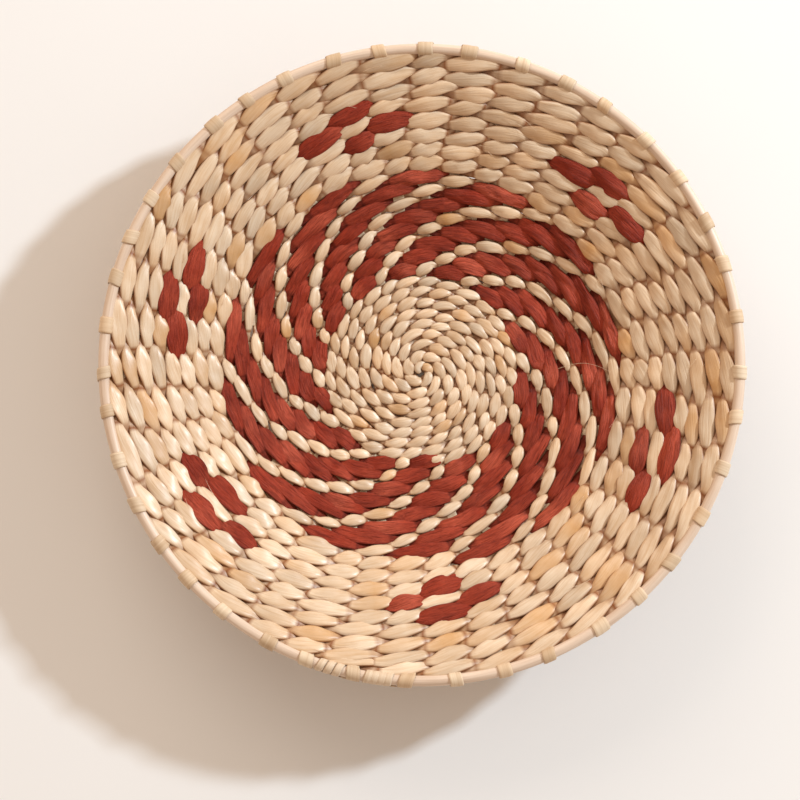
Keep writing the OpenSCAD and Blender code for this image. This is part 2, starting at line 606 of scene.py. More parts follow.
@dataclass(frozen=True)
class StrandTones:
    """The ranges of a strand's random tones, and the painted shade that darkens it into the gaps."""

    palest_most: float = 0.35
    tan_least: float = 0.45
    bright_shift: float = -0.01
    bright_spread: float = 0.09
    darkest: float = -0.19
    brightest: float = 0.13
    edge_reach: float = 0.12
    edge_unshaded_share: float = 0.1
    inner_rate: float = 2.5
    inner_shade: float = 0.8
    raised_from: float = 0.2

    def unshaded_share(self, pass_side: Array, around: int) -> Array:
        """Returns how free each point is of painted shade, the darkening laid on for shadow in the gaps.

        Shade is painted where the strand dives between the stakes, along its two edges (partly
        painted shade where strands touch, partly a leaf's browner edge), and on its hidden side: a
        pass at the back is darkened on its front side, and a pass in front on its back side. A point
        is free of it where the strand is raised to either face of the mat, away from its edges, and
        on its outer side.

        Args:
            pass_side: 1 where the strand passes in front and -1 where it passes at the back.
            around: number of points in a ring.

        Returns:
            Numbers from 0 to 1, as rings by points, with 0 where the shade is painted darkest.
        """
        turn = circle_angles(around)
        # Painted shade: along the edges (partly a browner leaf edge), on the hidden side, and where the
        # strand dives.
        off_edge = smooth_step((1.0 - np.abs(np.cos(turn))) / self.edge_reach)
        inner = smooth_step(-self.inner_rate * pass_side[:, None] * np.sin(turn)[None])
        raised = smooth_step(np.abs(pass_side) / self.raised_from)[:, None]
        edge = self.edge_unshaded_share + (1 - self.edge_unshaded_share) * off_edge
        return raised * edge * (1 - self.inner_shade * inner)

    def tones(self, place: Array, pass_side: Array, style: StrandStyle, rng: np.random.Generator) -> Array:
        """Returns the tone numbers at each point, with one new tan share and brightness a stitch.

        Args:
            place: the stitch places.
            pass_side: 1 where the strand passes in front and -1 where it passes at the back.
            style: gives the share of tan stitches.
            rng: the source of the tones.

        Returns:
            The tones, as rings by points by four.
        """
        knots = stitch_knots(place)
        pale = rng.uniform(0, self.palest_most, len(knots))
        tan = rng.uniform(self.tan_least, 1.0, len(knots))
        share = np.where(rng.uniform(size=len(knots)) < style.tan_share, tan, pale)
        spread = rng.normal(self.bright_shift, self.bright_spread, len(knots))
        bright = 1 + np.clip(spread, self.darkest, self.brightest)
        tone = np.zeros((len(place), style.around, 4))
        tone[..., 0] = np.interp(place, knots + 0.5, share)[:, None]
        tone[..., 1] = np.interp(place, knots + 0.5, bright)[:, None]
        # The third channel carries the painted shade of the gaps, the edges and the hidden sides.
        tone[..., 2] = self.unshaded_share(pass_side, style.around)
        return tone


@dataclass(frozen=True)
class StrandWeaver:
    """Makes the surface of a strand that twists along the courses.

    The last five fields are the shares of the random lines in the lean, the place across the
    course (the strand's own and the pair's), the tilt and the thickness.
    """

    plan: CoursePlan
    straightness: float = 0.93
    lift_power: float = 0.75
    width_tip: float = 0.6
    facing_rate: float = 1.5
    least_s: float = 0.0004
    centre_share: float = 0.55
    centre_reach: float = 0.016
    centre_least: float = 0.62
    hoop_hold: float = 0.6
    end_share: float = 0.3
    end_length: float = 0.35
    uneven_limit: float = 1.8
    shared_limit: float = 1.7
    uneven_lean: float = 0.18
    uneven_place: float = 0.03
    shared_place: float = 0.05
    uneven_tilt: float = 0.10
    uneven_thick: float = 0.04

    def strand(
        self,
        zone: Zone,
        span: Span,
        phase_line: PhaseLine,
        style: StrandStyle,
        rng: np.random.Generator,
        swell: Optional[Swell] = None,
    ) -> Surface:
        """Returns one strand of a pair.

        Its middle line is the course's line, moved along the section by minus the lean times a
        wave of its phase, which is a cosine drawn nearly straight between its turns, and to the
        front by the lift times a power of the sine of the phase less the tip, so the outer tip of
        a stitch lies over the start of the next. Its section is a flat rounded shape, narrowest
        where it dives between two stakes, and it drapes over its partner: it tilts by the drape
        times the sine of twice the phase.

        Args:
            zone: the zone of weaving, which sets the course's height.
            span: the first and last stitch place.
            phase_line: how the strand turns round its partner.
            style: the strand's shape.
            rng: the source of its unevenness.
            swell: gives the share of its size and the move to the front at stitch places.

        Returns:
            The strand's surface.
        """
        form, pitch = self.plan.form, self.plan.pitch(zone)
        rings = int(round((span[1] - span[0]) * self.plan.samples)) + 1
        place = np.linspace(span[0], span[1], rings)
        leans, places, tilts, widths, thicks, *fold_lines = self.unevenness(place, rng)
        bay_shift, course_shift = self.shared_shifts(zone, place)
        phase = phase_line.at(place) + style.restless * bay_shift
        dive = phase - style.tip
        angle, s = self.plan.place(place)
        short = self.centre_size(s) if zone is Zone.CENTRE else np.ones(rings)
        size, to_front = swell(place) if swell else (np.ones(rings), np.zeros(rings))

        lean = style.lean * pitch * short * (1 + self.uneven_lean * leans)
        lift = style.lift * np.sign(np.sin(dive)) * np.abs(np.sin(dive)) ** self.lift_power
        lift = lift + to_front * np.abs(np.sin(phase))
        held = smooth_step((self.plan.field_end - s) / pitch - self.hoop_hold)
        aside = pitch * (self.uneven_place * places + self.shared_place * course_shift) * held
        sway = np.arcsin(self.straightness * np.cos(phase)) / math.asin(self.straightness)
        s_strand = np.maximum(self.least_s, s - lean * sway + aside)
        line = form.point(angle, s_strand, lift)

        outward, front, _ = form.directions(angle, s_strand)
        tilt = style.drape * np.sin(2 * phase) + self.uneven_tilt * tilts
        tangent = unit(np.gradient(line, axis=0))
        facing = front * np.cos(tilt)[:, None] - outward * np.sin(tilt)[:, None]
        wide = unit(np.cross(tangent, facing))
        thick = np.cross(wide, tangent)

        over = np.abs(np.sin(phase - self.width_tip * style.tip)) ** style.fullness
        in_front = smooth_step(0.5 + self.facing_rate * np.sin(dive))
        widest = style.back_width + (style.width - style.back_width) * in_front
        half_width = pitch * (style.gap_width + (widest - style.gap_width) * over)
        half_width *= (1 + style.width_spread * widths) * short * size
        half_thick = style.gap_thickness + (style.thickness - style.gap_thickness) * over
        half_thick *= (1 + self.uneven_thick * thicks) * np.sqrt(size)
        ends = self.end_taper(place, span)
        profile = FoldedSection().profile(half_width * ends, half_thick * ends, style, fold_lines, place)
        tone = StrandTones().tones(place, np.sin(dive), style, rng)
        along = length_along(line) + rng.uniform(0, GRAIN_SHIFT)
        surface = carried_profile(line, wide, thick, profile, along, tone)
        surface.points[:, 2] = np.maximum(surface.points[:, 2], 0.0)
        return surface

    def centre_size(self, s: Array) -> Array:
        """Returns the share of its size that a centre strand has, growing with the radius to 1."""
        grown = self.centre_share + self.plan.form.radius(s) / self.centre_reach
        return np.clip(grown, self.centre_least, 1.0)

    def end_taper(self, place: Array, span: Span) -> Array:
        """Returns 1 along a strand, falling to the end share over the end length, in stitches."""
        near = np.minimum(place - span[0], span[1] - place)
        return self.end_share + (1 - self.end_share) * smooth_step(near / self.end_length)

    def shared_shifts(self, zone: Zone, place: Array) -> Array:
        """Returns the random lines that both strands of a pair share, with a knot at each stitch.

        Args:
            zone: the zone of weaving, whose name's length seeds the lines.
            place: the stitch places.

        Returns:
            Two lines: the shift along the course and the shift across it.
        """
        knots = np.arange(*SHARED_SPAN)
        rng = np.random.default_rng(len(zone.value))
        values = np.clip(rng.normal(size=(2, len(knots))), -self.shared_limit, self.shared_limit)
        return np.stack([np.interp(place, knots, v) for v in values])

    def unevenness(self, place: Array, rng: np.random.Generator) -> Array:
        """Returns a strand's own smooth random lines, with one new value for every stitch.

        Args:
            place: the stitch places.
            rng: the source of the values.

        Returns:
            Eight lines, for the lean, the place across, the tilt, the width, the thickness and
            three for the folds.
        """
        knots = stitch_knots(place)
        values = np.clip(rng.normal(size=(8, len(knots))), -self.uneven_limit, self.uneven_limit)
        return np.stack([np.interp(place, knots + 0.5, v) for v in values])


@dataclass(frozen=True)
class LooseFibres:
    """Thin fibres that have come loose from the leaf and lie on the weave.

    The hairs are short and lie anywhere in the field. The stray is one long fibre on the side
    towards +X.
    """

    plan: CoursePlan
    count: int = 26
    seed: int = 71
    around: int = 5
    thick: float = 0.00012
    thinning: float = 0.6
    tone: tuple[float, ...] = (0.1, 1.08, 1.0, 0.0)
    rings: int = 9
    hoop_room: float = 0.004
    lengths: Span = (0.005, 0.013)
    across: float = 0.0025
    bend: float = 0.001
    height: float = 0.0036
    most_lift: float = 0.0022
    lift_power: float = 1.5
    stray_rings: int = 22
    stray_start: float = math.radians(0.5)
    stray_bow: float = math.radians(2.4)
    stray_turn: float = math.radians(2.0)
    stray_s: float = 0.080
    stray_length: float = 0.033
    stray_height: float = 0.0046
    stray_lift: float = 0.0012

    def fibre(self, angle: Array, s: Array, to_front: Array) -> Surface:
        """Returns one fibre: a small circle carried along a line, thinning to its tip.

        Args:
            angle: angles round the dish along the fibre.
            s: lengths along the section.
            to_front: distances to the front of the middle surface.

        Returns:
            The fibre's surface.
        """
        line = self.plan.form.point(angle, s, to_front)
        tangent = unit(np.gradient(line, axis=0))
        wide = unit(np.cross(tangent, UP))
        around = circle_angles(self.around)
        thin = self.thick * (1 - self.thinning * np.linspace(0, 1, len(s)))
        profile = thin[:, None, None] * np.stack([np.cos(around), np.sin(around)], -1)
        tone = np.tile(self.tone, (len(s), 1))
        return carried_profile(line, wide, np.cross(wide, tangent), profile, s, tone)

    def hair(self, rng: np.random.Generator) -> Surface:
        """Returns one hair: it follows the courses, wanders across them as an arc and lifts.

        Args:
            rng: the source of its place and shape.

        Returns:
            The hair's surface.
        """
        t = np.linspace(0, 1, self.rings)
        s0 = rng.uniform(self.plan.field_start, self.plan.field_end - self.hoop_room)
        length = rng.uniform(*self.lengths)
        across = rng.normal(0, self.across)
        angle = rng.uniform(0, TAU) - t * length / float(self.plan.form.radius(s0))
        s = s0 + across * t + rng.normal(0, self.bend) * t**2
        return self.fibre(angle, s, self.height + rng.uniform(0.0, self.most_lift) * t**self.lift_power)

    def stray(self) -> Surface:
        """Bows and lifts a fibre by half a sine wave along it.

        Returns:
            The surface of the long stray fibre.
        """
        t = np.linspace(0, 1, self.stray_rings)
        bow = np.sin(math.pi * t)
        angle = self.stray_start + self.stray_bow * bow - self.stray_turn * t
        s = self.stray_s + self.stray_length * t
        return self.fibre(angle, s, self.stray_height + self.stray_lift * bow)

    def surface(self) -> Surface:
        """Returns all the hairs and the stray."""
        rng = np.random.default_rng(self.seed)
        return Surface.joined([self.hair(rng) for _ in range(self.count)] + [self.stray()])


@dataclass(frozen=True)
class Weaving:
    """All twined strands of the mat, zone by zone, and the red accents.

    Ends are counted in stitches past the zone's first or last stitch.
    """

    plan: CoursePlan
    accent_stakes: tuple[int, ...] = (0, 7, 14, 20, 27, 34)
    accent_course: int = 5
    accent_reach: float = 0.20
    accent_tail: float = 0.4
    accent_end: float = 0.45
    seed: int = 11
    ring_seeds: tuple[int, int] = (14, 15)
    centre_seed: int = 17
    accent_seed: int = 31
    field_start_end: float = 0.5
    field_ends: Span = (3.7, 0.8)
    ring_plain_ends: Span = (0.45, 0.35)
    ring_red_ends: Span = (0.75, 0.2)
    centre_ends: Span = (0.5, 0.4)
    covered_half: float = 0.48
    covered_fade: float = 0.25
    covered_thin: float = 0.35
    covered_back: float = 0.0015
    tail_stitches: float = 3.6
    tail_thin: float = 0.6

    def plain_phase(self, first: int) -> PhaseLine:
        """Returns the turning of a strand that is in front over every second stake."""
        places = np.array(PLAIN_SPAN, dtype=float)
        return PhaseLine(places, places + first)

    def ring_phase(self, plain: bool) -> PhaseLine:
        """Returns the turning of a ring strand: red in front of two stakes and behind one.

        Args:
            plain: whether it is the plain strand, which passes the other way.

        Returns:
            Its phase line, with two crossings to every three stitches.
        """
        third = np.arange(-2, (self.plan.ring_courses * self.plan.stakes.count) // 3 + 3)
        places = np.stack([3 * third + 1, 3 * third + 2], -1).ravel().astype(float)
        half_turns = np.arange(len(places)) + 1.0
        return PhaseLine(places, half_turns + (1 if plain else 0))

    def accent_phase(self, group: Sequence[int]) -> PhaseLine:
        """Returns the turning of an accent's strand, whose stitches reach past the stakes' bays.

        Args:
            group: the numbers of its stitches.

        Returns:
            Its phase line, in front over each stitch and half dived at both ends.
        """
        starts = np.array(group, dtype=float)
        places = np.stack([starts - self.accent_reach, starts + 1 + self.accent_reach], -1).ravel()
        half_turns = np.arange(len(places), dtype=float)
        return PhaseLine(
            np.concatenate([[places[0] - self.accent_tail], places, [places[-1] + self.accent_tail]]),
            np.concatenate([[-0.5], half_turns, [half_turns[-1] + 0.5]]),
        )

    def accent_stitches(self, stake: int) -> list[list[int]]:
        """Returns an accent's stitches: one, two and one over three courses, round a plain one.

        Args:
            stake: the stake under the accent's middle.

        Returns:
            The stitches' numbers, strand by strand.
        """
        outer, middle, inner = (
            self.plan.stitch_over(stake, self.accent_course + step) for step in (-1, 0, 1)
        )
        return [[outer], [middle - 1, middle + 1], [inner]]

    def thinned(self, first: int, end: float) -> Swell:
        """Returns the swell of a plain field strand, thin under the accents and past its last turn.

        Args:
            first: 0 or 1, the strand's place in its pair.
            end: the stitch place where the last whole turn ends.

        Returns:
            A function from stitch places to the share of size and the move to the front.
        """
        groups = [group for stake in self.accent_stakes for group in self.accent_stitches(stake)]
        covered = [n for group in groups for n in group if (n + first) % 2 == 0]
        middles = np.array(sorted(covered)) + 0.5

        def swell(place: Array) -> tuple[Array, Array]:
            """Gives the share of size and the move to the front.

            Args:
                place: the stitch places.

            Returns:
                The two lines, one number for each place.
            """
            apart = np.abs(place[:, None] - middles[None]).min(1)
            near = 1 - smooth_step((apart - self.covered_half) / self.covered_fade)
            tail = smooth_step((place - end) / self.tail_stitches)
            size = 1 - self.covered_thin * near - self.tail_thin * tail
            return size, -self.covered_back * near

        return swell

    def field_strand(self, first: int, style: StrandStyle) -> Surface:
        """Returns one of the two plain strands of the outer field.

        Args:
            first: 0 or 1, the strand's place in its pair.
            style: the strand's shape.

        Returns:
            The strand's surface.
        """
        start = self.plan.ring_courses * self.plan.stakes.count
        end = start + self.plan.field_courses * self.plan.stakes.count
        rng = np.random.default_rng(self.seed + first)
        longer, shorter_by = self.field_ends
        span = (start - self.field_start_end + first, end + longer - shorter_by * first)
        swell = self.thinned(first, end)
        weaver = StrandWeaver(self.plan)
        return weaver.strand(Zone.FIELD, span, self.plain_phase(first), style, rng, swell)

    def ring_strand(self, plain: bool, style: StrandStyle) -> Surface:
        """Returns the red or the plain strand of the ring.

        Args:
            plain: whether it is the plain one.
            style: the strand's shape.

        Returns:
            The strand's surface.
        """
        last = self.plan.ring_courses * self.plan.stakes.count
        before, after = self.ring_plain_ends if plain else self.ring_red_ends
        plain_seed, red_seed = self.ring_seeds
        rng = np.random.default_rng(plain_seed if plain else red_seed)
        weaver = StrandWeaver(self.plan)
        return weaver.strand(Zone.RING, (-before, last + after), self.ring_phase(plain), style, rng)

    def centre_strand(self, first: int, style: StrandStyle) -> Surface:
        """Returns one of the two plain strands of the centre.

        Args:
            first: 0 or 1, the strand's place in its pair.
            style: the strand's shape.

        Returns:
            The strand's surface.
        """
        start = 1.0 - len(self.plan.centre_turns())
        after, shorter_by = self.centre_ends
        span = (start, after - first * shorter_by)
        rng = np.random.default_rng(self.centre_seed + first)
        weaver = StrandWeaver(self.plan)
        return weaver.strand(Zone.CENTRE, span, self.plain_phase(first), style, rng)

    def accent(self, stake: int, style: StrandStyle) -> Surface:
        """Returns the three short red strands of one accent.

        Args:
            stake: the stake under the accent's middle.
            style: the strands' shape.

        Returns:
            The surface of the three strands.
        """
        rng = np.random.default_rng(self.accent_seed + stake)
        weaver = StrandWeaver(self.plan)
        parts = []
        for group in self.accent_stitches(stake):
            span = (min(group) - self.accent_end, max(group) + 1 + self.accent_end)
            parts.append(weaver.strand(Zone.FIELD, span, self.accent_phase(group), style, rng))
        return Surface.joined(parts)


# ---------------------------------------------------------------- hoop, stakes and bindings


@dataclass(frozen=True)
class HoopRod:
    """The cane rod of the rim: a ring whose two slanted ends lie against each other.

    Its unevenness is a sum of waves round the ring, which moves it out and up and swells it.
    """

    radius: float
    height: float
    rod: float
    join_angle: float
    overlap: float = math.radians(5)
    around: int = 20
    rings: int = 540
    seed: int = 5
    waves: tuple[int, int] = (2, 24)
    wave_fall: float = 1.4
    wave_out: float = 0.00022
    wave_up: float = 0.00016
    wave_swell: float = 0.012
    cut_rise: float = 0.22
    cut_flat: float = 0.5
    lump: float = 0.02
    tone: Span = (0.3, 0.2)
    tone_most: float = 1.2

    def surface(self) -> Surface:
        """Carries a circle round the ring, a little uneven and with its ends cut slanting.

        Each end is flattened by a smooth step over the overlap, and one end lies above the other.

        Returns:
            The rod's surface.
        """
        rng = np.random.default_rng(self.seed)
        turn = np.linspace(-self.overlap / 2, TAU + self.overlap / 2, self.rings)
        angle = self.join_angle + turn
        wave = sum(
            rng.normal() / k**self.wave_fall * np.sin(k * angle + rng.uniform(0, TAU))
            for k in range(*self.waves)
        )
        radius = self.radius + self.wave_out * wave
        height = self.height + self.wave_up * np.roll(wave, self.rings // 3)
        line = np.stack([radius * np.cos(angle), radius * np.sin(angle), height], -1)
        radial = level_direction(angle)
        up = np.broadcast_to(UP, radial.shape)
        from_end = np.minimum(turn - turn[0], turn[-1] - turn) / self.overlap
        cut = 1 - smooth_step(from_end)
        side = np.where(turn < math.pi, 1.0, -1.0)
        line = line + up * (side * cut * self.rod * self.cut_rise)[:, None]
        around = circle_angles(self.around)
        lumps = self.lump * np.sin(3 * around[None] + 6 * angle[:, None])
        lumps = 1 + lumps + self.wave_swell * wave[:, None]
        x = self.rod * np.cos(around)[None] * lumps
        y = self.rod * np.sin(around)[None] * lumps * (1 - self.cut_flat * cut)[:, None]
        profile = np.stack([x, y], -1)[:, ::-1]
        tan, tan_wave = self.tone
        one = np.ones_like(wave)
        tone = np.clip(np.stack([tan + tan_wave * wave, one, one, 0 * one], -1), 0, self.tone_most)
        return carried_profile(line, radial, up, profile, angle * self.radius, tone)


@dataclass(frozen=True)
class StakeStrips:
    """The stakes: flat strips in the weave whose ends are wrapped round the hoop and tucked in.

    The wrap starts and ends at the two wrap angles round the rod, in degrees from outward.
    """

    plan: CoursePlan
    hoop_s: float
    rod: float
    half_width: float = 0.00325
    half_thick: float = 0.0003
    wrap_half_width: float = 0.0042
    wrap_half_thick: float = 0.0004
    wrap_angles: Span = (-118, 148)
    wrap_points: int = 30
    straight_points: int = 6
    tail: float = 0.0085
    tuck_height: float = 0.0009
    run_in: float = 0.004
    ring_step: float = 0.003
    widening: float = 4.0
    slant: float = 0.0007
    room: float = 0.22
    wrap_spread: Span = (0.78, 1.12)
    tip_rings: int = 10
    tip_thinning: float = 0.25
    around: int = 14
    ribs: int = 9
    rib_depth: float = 0.16
    square_wide: float = 0.7
    square_thick: float = 0.6
    seed: int = 300
    tan_most: float = 0.8
    bright: Span = (0.9, 1.08)

    def section_path(self) -> Array:
        """Returns the strip's line beside the rod: under it, round outside and over it, and in.

        The middle stretch is a circle round the rod's middle, and the two ends are straight
        lines from the weave to the circle.

        Returns:
            Points outward and to the front of the rod's middle.
        """
        reach = self.rod + CLEARANCE + self.wrap_half_thick
        turn = np.radians(np.linspace(*self.wrap_angles, self.wrap_points))
        circle = np.stack([reach * np.cos(turn), reach * np.sin(turn)], -1)
        share = np.linspace(0, 1, self.straight_points)[:, None]
        foot = np.array([-self.tail, 0.0])
        tuck = np.array([-self.tail, self.tuck_height])
        start = share[:-1] * (circle[0] - foot) + foot
        end = circle[-1] + share[1:] * (tuck - circle[-1])
        return np.concatenate([start, circle, end])

    def strip(self, number: int, start: float, rng: np.random.Generator) -> Surface:
        """Returns one stake from its inner end to the tucked end of its wrap.

        Args:
            number: the stake's number.
            start: the length along the section where it starts.
            rng: the source of its unevenness.

        Returns:
            The stake's surface: a flat rounded strip carried along its path.
        """
        form, plan = self.plan.form, self.plan
        inner_s = np.arange(start, self.hoop_s - self.tail - self.run_in, self.ring_step)
        loop = self.section_path()
        s = np.concatenate([inner_s, self.hoop_s + loop[:, 0]])
        to_front = np.concatenate([np.zeros(len(inner_s)), loop[:, 1]])
        ring = np.arange(len(s))
        inwards = (plan.field_start - s) / (plan.field_start - plan.ring_start)
        angle = plan.stakes.swung(np.array(float(number)), inwards) + np.zeros_like(s)
        wrap = smooth_step((ring - len(inner_s)) / self.widening)
        slant = rng.normal(0, self.slant) / plan.form.radius(np.array(self.hoop_s))
        angle[len(inner_s):] += slant * np.linspace(-1, 1, len(loop))

        at_hoop = np.full_like(s, self.hoop_s)
        centre = form.point(angle, at_hoop, np.zeros_like(s))
        out_hoop, front_hoop, _ = form.directions(angle, at_hoop)
        looped = centre + out_hoop * (s - self.hoop_s)[:, None] + front_hoop * to_front[:, None]
        line = np.where((wrap > 0)[:, None], looped, form.point(angle, s, to_front))
        tangent = unit(np.gradient(line, axis=0))
        _, _, clockwise = form.directions(angle, s)
        wide = unit(clockwise - tangent * (clockwise * tangent).sum(-1, keepdims=True))
        thick = np.cross(wide, tangent)

        narrow = np.minimum(self.half_width, self.room * plan.stakes.step * form.radius(s))
        wide_half = self.wrap_half_width * rng.uniform(*self.wrap_spread)
        half = narrow * (1 - wrap) + wide_half * wrap
        tip = smooth_step((ring - len(s) + self.tip_rings) / (self.tip_rings - 1))
        half = half * (1 - self.tip_thinning * tip)
        thin = self.half_thick * (1 - wrap) + self.wrap_half_thick * wrap
        turn = circle_angles(self.around)
        cos, sin = np.cos(turn), np.sin(turn)
        ribs = 1 + self.rib_depth * np.cos(self.ribs * turn + rng.uniform(0, TAU))
        x = half[:, None] * np.sign(cos) * np.abs(cos) ** self.square_wide
        y = thin[:, None] * np.sign(sin) * np.abs(sin) ** self.square_thick * ribs
        tone = np.empty((len(s), 4))
        tone[:] = [rng.uniform(0, self.tan_most), rng.uniform(*self.bright), 1.0, rng.uniform()]
        along = length_along(line) + rng.uniform(0, GRAIN_SHIFT)
        return carried_profile(line, wide, thick, np.stack([x, y], -1), along, tone)

    def round_of(self, numbers: Sequence[int], start: float) -> Surface:
        """Returns all the stakes of one round, which start at one length along the section."""
        parts = [self.strip(n, start, np.random.default_rng(self.seed + n)) for n in numbers]
        return Surface.joined(parts)


@dataclass(frozen=True)
class JoinBinding:
    """Two whippings of split strip over the hoop's join, one in each open bay beside a stake."""

    plan: CoursePlan
    radius: float
    height: float
    rod: float
    edge: float = 0.0062
    strip_half: float = 0.0022
    strip_thick: float = 0.00035
    spacing: float = 1.7
    turn_rings: int = 22
    around: int = 8
    tone: tuple[float, ...] = (0.5, 1.0, 1.0, 0.0)

    def whipping(self, bay: int) -> Surface:
        """Returns one whipping: a flat strip wound as a close helix round the rod.

        Args:
            bay: the number of the stake before the open bay.

        Returns:
            The strip's surface.
        """
        edge = self.edge / self.radius
        start = float(self.plan.stakes.angle(bay)) + edge
        end = float(self.plan.stakes.angle(bay + 1)) - edge
        turns = max(2, int((end - start) * self.radius / (self.spacing * self.strip_half)))
        t = np.linspace(0, 1, turns * self.turn_rings + 1)
        wind = t * turns * TAU
        radial = level_direction(start + (end - start) * t)
        out = radial * np.cos(wind)[:, None] + UP * np.sin(wind)[:, None]
        line = radial * self.radius + UP * self.height + out * (self.rod + CLEARANCE + self.strip_thick)
        tangent = unit(np.gradient(line, axis=0))
        wide = unit(np.cross(out, tangent))
        around = circle_angles(self.around)
        profile = np.stack([self.strip_half * np.cos(around), self.strip_thick * np.sin(around)], -1)
        profile = np.broadcast_to(profile, (len(t), self.around, 2))
        along = np.linspace(0, turns * TAU * self.rod, len(t))
        tone = np.tile(self.tone, (len(t), 1))
        return carried_profile(line, wide, np.cross(wide, tangent), profile, along, tone)

    def surface(self) -> Surface:
        """Returns both whippings."""
        return Surface.joined([self.whipping(JOIN_STAKE - 1), self.whipping(JOIN_STAKE)])


# ---------------------------------------------------------------- finishes


class NodeMaterial:
    """A node material in the making: its shader, and one way to add any node."""

    def __init__(self, name: str) -> None:
        """Starts a material that has only its shader.

        Args:
            name: the material's name.
        """
        self.material = bpy.data.materials.new(name)
        self.material.use_nodes = True
        self.tree = self.material.node_tree
        self.shader = self.tree.nodes["Principled BSDF"]

    def feed(self, node: bpy.types.Node, inputs: Inputs) -> None:
        """Links or sets a node's inputs.

        Args:
            node: the node.
            inputs: for each input, by name or number, a socket to link or a value to set.
        """
        for key, value in inputs.items():
            if isinstance(value, bpy.types.NodeSocket):
                self.tree.links.new(value, node.inputs[key])
            else:
                node.inputs[key].default_value = value

    def add(
        self, kind: str, output: Union[str, int], inputs: Inputs, **settings: Any
    ) -> bpy.types.NodeSocket:
        """Returns an output of a new node.

        Args:
            kind: the node's type, without the words that every shader node's type starts with.
            output: the output's name or number.
            inputs: for each input, by name or number, a socket to link or a value to set.
            settings: the node's own settings.

        Returns:
            The output's socket.
        """
        node = self.tree.nodes.new(f"ShaderNode{kind}")
        for name, value in settings.items():
            setattr(node, name, value)
        self.feed(node, inputs)
        return node.outputs[output]

    def mix(self, share: bpy.types.NodeSocket, first: Paint, second: Colour) -> bpy.types.NodeSocket:
        """Returns the first colour taken towards the second by a share.

        A mix node has a set of sockets for each kind of value, under the same names, so its
        colour sockets are given by number.

        Args:
            share: the socket that gives the share.
            first: a colour, or the socket that gives it.
            second: the fixed colour at a share of 1.

        Returns:
            The socket that gives the mixed colour.
        """
        start = (*first, 1.0) if isinstance(first, tuple) else first
        return self.add("Mix", 2, {0: share, 6: start, 7: (*second, 1.0)}, data_type="RGBA")

    def streaks(self, across: float, along: float, detail: float) -> bpy.types.NodeSocket:
        """Returns noise drawn out along the fibres.

        Args:
            across: the noise's scale across the fibres.
            along: the noise's scale along them.
            detail: how many finer noises are added to it.

        Returns:
            The socket that gives the noise, mostly between 0.3 and 0.7.
        """
        grain = self.add("Attribute", "Vector", {}, attribute_name="Grain")
        place = self.add("Mapping", "Vector", {"Vector": grain, "Scale": (across, across, along)})
        noise = {"Vector": place, "Scale": 1.0, "Detail": detail, "Roughness": 0.6}
        return self.add("TexNoise", "Fac", noise)

    def ramp(self, source: bpy.types.NodeSocket, span: Span, onto: Span) -> bpy.types.NodeSocket:
        """Returns a value mapped from one span onto another, and held at its ends.

        Args:
            source: the socket that gives the value.
            span: the values that give the ends of the other span.
            onto: the results at those two values.

        Returns:
            The socket that gives the mapped value.
        """
        ends = {"From Min": span[0], "From Max": span[1], "To Min": onto[0], "To Max": onto[1]}
        return self.add("MapRange", "Result", {"Value": source, **ends})


